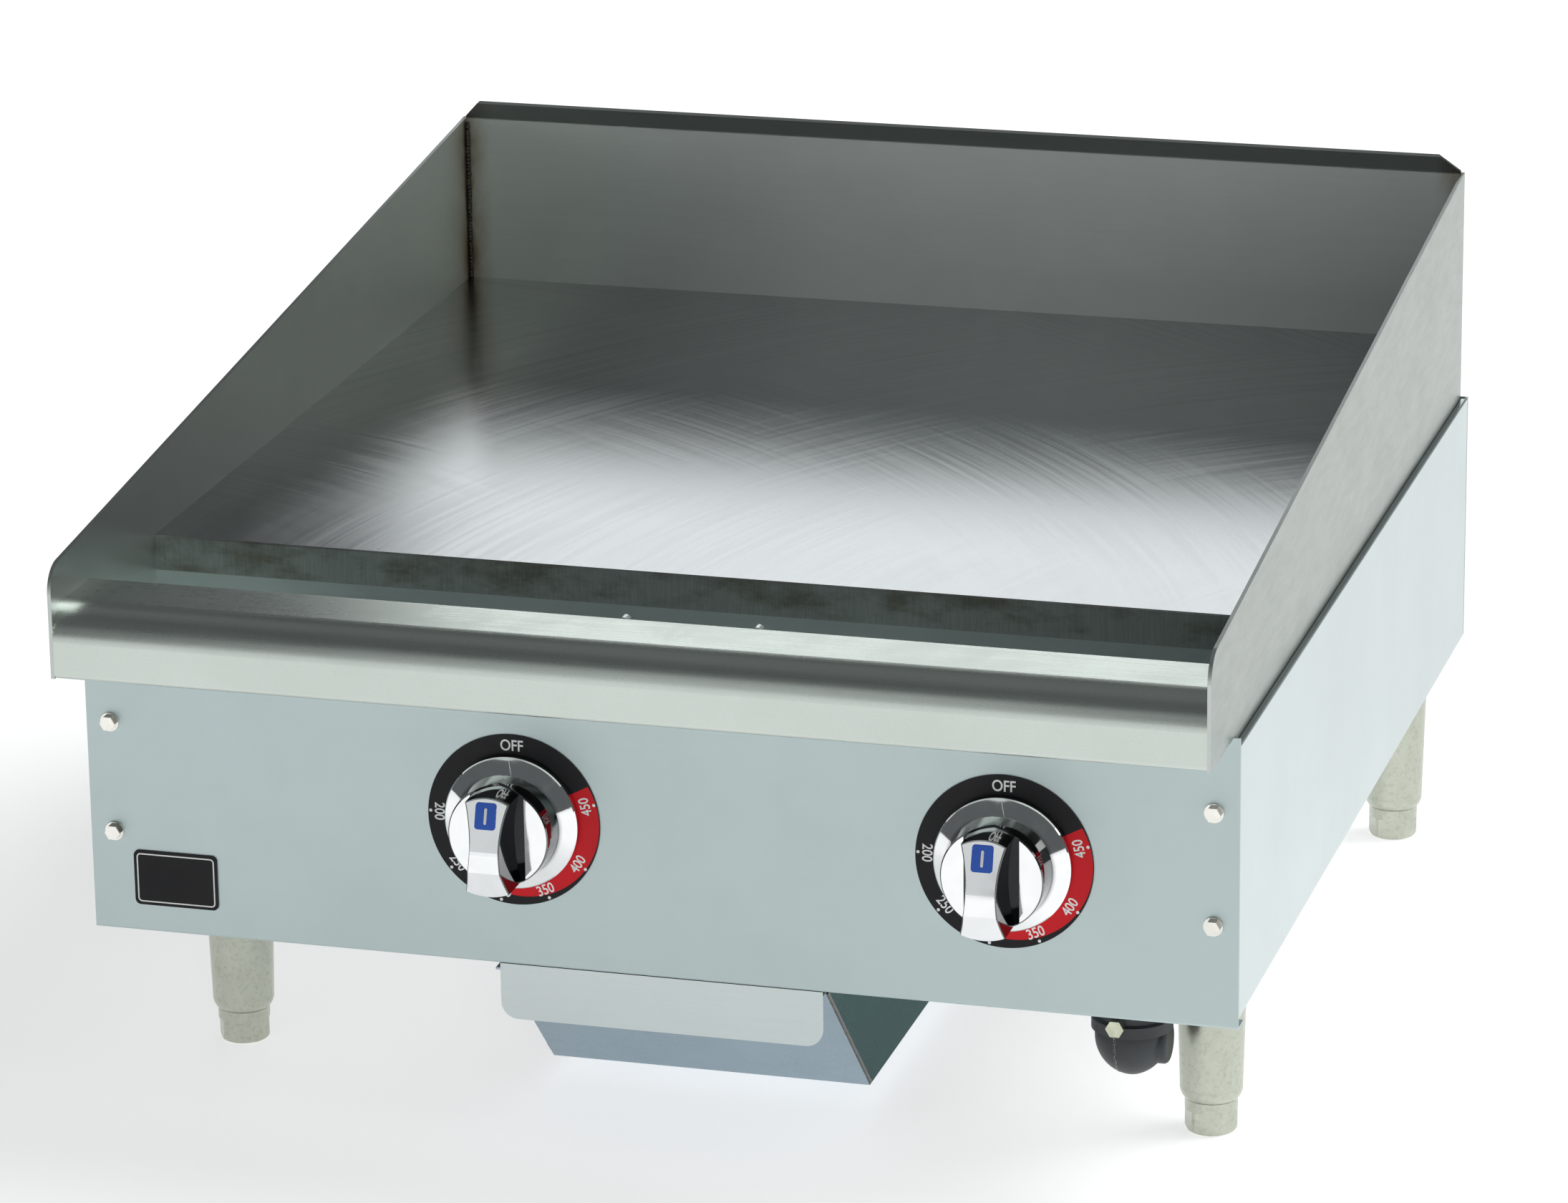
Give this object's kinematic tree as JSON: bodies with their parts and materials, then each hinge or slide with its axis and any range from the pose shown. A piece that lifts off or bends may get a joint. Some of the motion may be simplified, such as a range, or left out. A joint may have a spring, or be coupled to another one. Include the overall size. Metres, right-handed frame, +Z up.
{
  "type": "flat top griddle",
  "caption": "Countertop gas griddle: thick steel cooking plate inside sloped splashes, rounded front rail over a grease trough, thermostat knobs, pull-out grease drawer and levelling legs.",
  "frame": {"origin": "centre of the whole box on the counter the feet stand on", "axes": "+Z up, front (knobs and rounded rail) towards -Y, +X to the right seen from the front"},
  "size_m": [0.61, 0.704, 0.3993],
  "materials": {
    "plate_steel": "ground and polished steel cooking plate",
    "splash_steel": "brushed stainless steel",
    "rail_steel": "brushed stainless steel, rolled",
    "trough_steel": "stainless steel, darkened",
    "panel_steel": "fine brushed stainless steel, pale blue-grey",
    "side_steel": "brushed stainless steel",
    "galvanised": "aluminised sheet steel",
    "screw_chrome": "bright zinc plated",
    "dial_print": "black printed plate with white numbers and a red hot sector",
    "mineral_wool": "mineral wool blanket",
    "black_steel": "black steel pipe and bar",
    "brass": "machined",
    "tube_aluminium": "bent tube",
    "burner_steel": "aluminised steel",
    "cast_aluminium": "die cast",
    "shaft_steel": "turned",
    "knob_chrome": "polished chrome",
    "badge_blue": "glossy blue inlay",
    "copper": "copper capillary and bulb",
    "regulator_grey": "dark grey die casting",
    "plug_zinc": "zinc plated",
    "tray_steel": "stainless steel, bluish",
    "drawer_steel": "brushed stainless steel",
    "leg_nickel": "satin nickel plated"
  },
  "bodies": {
    "body": {"griddle_plate": "plate_steel", "left_splash": "splash_steel", "right_splash": "splash_steel", "rear_splash": "splash_steel", "front_rail": "rail_steel", "grease_trough": "trough_steel", "grease_chute": "trough_steel", "drain_strainer": "trough_steel", "front_panel": "panel_steel", "left_side_panel": "side_steel", "right_side_panel": "side_steel", "rear_panel": "side_steel", "bottom_pan": "galvanised", "front_panel_screws": "screw_chrome", "rear_panel_screws": "screw_chrome", "nameplate": "dial_print", "firewall": "galvanised", "burner_box": "galvanised", "insulation": "mineral_wool", "plate_rails": "black_steel", "burner_bracket": "galvanised", "orifice_spuds": "brass", "supply_tubes": "tube_aluminium", "pilot_valves": "brass", "pilot_tubes": "tube_aluminium", "pilot_burners": "burner_steel", "bulb_clips": "galvanised", "gas_manifold": "black_steel", "manifold_plug": "black_steel", "regulator": "regulator_grey", "regulator_plug": "plug_zinc", "gas_inlet_pipe": "black_steel", "drawer_runners": "galvanised", "leg_nuts": "screw_chrome", "left_burner": "burner_steel", "left_thermostat": "cast_aluminium", "left_dial": "dial_print", "left_sensing_bulb": "copper", "right_burner": "burner_steel", "right_thermostat": "cast_aluminium", "right_dial": "dial_print", "right_sensing_bulb": "copper", "leg_front_left": "leg_nickel", "leg_front_right": "leg_nickel", "leg_rear_left": "leg_nickel", "leg_rear_right": "leg_nickel"},
    "drawer": {"grease_tray": "tray_steel", "drawer_front": "drawer_steel"},
    "left_control": {"left_knob": "knob_chrome", "left_knob_badge": "badge_blue", "left_thermostat_shaft": "shaft_steel"},
    "left_shutter": {"left_air_shutter": "galvanised"},
    "right_control": {"right_knob": "knob_chrome", "right_knob_badge": "badge_blue", "right_thermostat_shaft": "shaft_steel"},
    "right_shutter": {"right_air_shutter": "galvanised"},
    "front_left_foot": {"foot_front_left": "leg_nickel"},
    "front_right_foot": {"foot_front_right": "leg_nickel"},
    "rear_left_foot": {"foot_rear_left": "leg_nickel"},
    "rear_right_foot": {"foot_rear_right": "leg_nickel"}
  },
  "joints": [
    {"name": "grease_drawer_slide", "type": "slide", "parent": "body", "child": "drawer", "axis": [0, -1, 0], "range_m": [0, 0.3]},
    {"name": "left_knob_turn", "type": "hinge", "parent": "body", "child": "left_control", "pos_m": [-0.073, -0.299, 0.181], "axis": [0, -1, 0], "range_deg": [0, 285]},
    {"name": "right_knob_turn", "type": "hinge", "parent": "body", "child": "right_control", "pos_m": [0.185, -0.299, 0.181], "axis": [0, -1, 0], "range_deg": [0, 285]},
    {"name": "left_air_shutter_turn", "type": "hinge", "parent": "body", "child": "left_shutter", "pos_m": [-0.129, -0.208, 0.2], "axis": [0, -1, 0], "range_deg": [0, 36]},
    {"name": "right_air_shutter_turn", "type": "hinge", "parent": "body", "child": "right_shutter", "pos_m": [0.129, -0.208, 0.2], "axis": [0, -1, 0], "range_deg": [0, 36]},
    {"name": "front_left_foot_screw", "type": "slide", "parent": "body", "child": "front_left_foot", "axis": [0, 0, -1], "range_m": [0, 0.025]},
    {"name": "front_right_foot_screw", "type": "slide", "parent": "body", "child": "front_right_foot", "axis": [0, 0, -1], "range_m": [0, 0.025]},
    {"name": "rear_left_foot_screw", "type": "slide", "parent": "body", "child": "rear_left_foot", "axis": [0, 0, -1], "range_m": [0, 0.025]},
    {"name": "rear_right_foot_screw", "type": "slide", "parent": "body", "child": "rear_right_foot", "axis": [0, 0, -1], "range_m": [0, 0.025]}
  ]
}
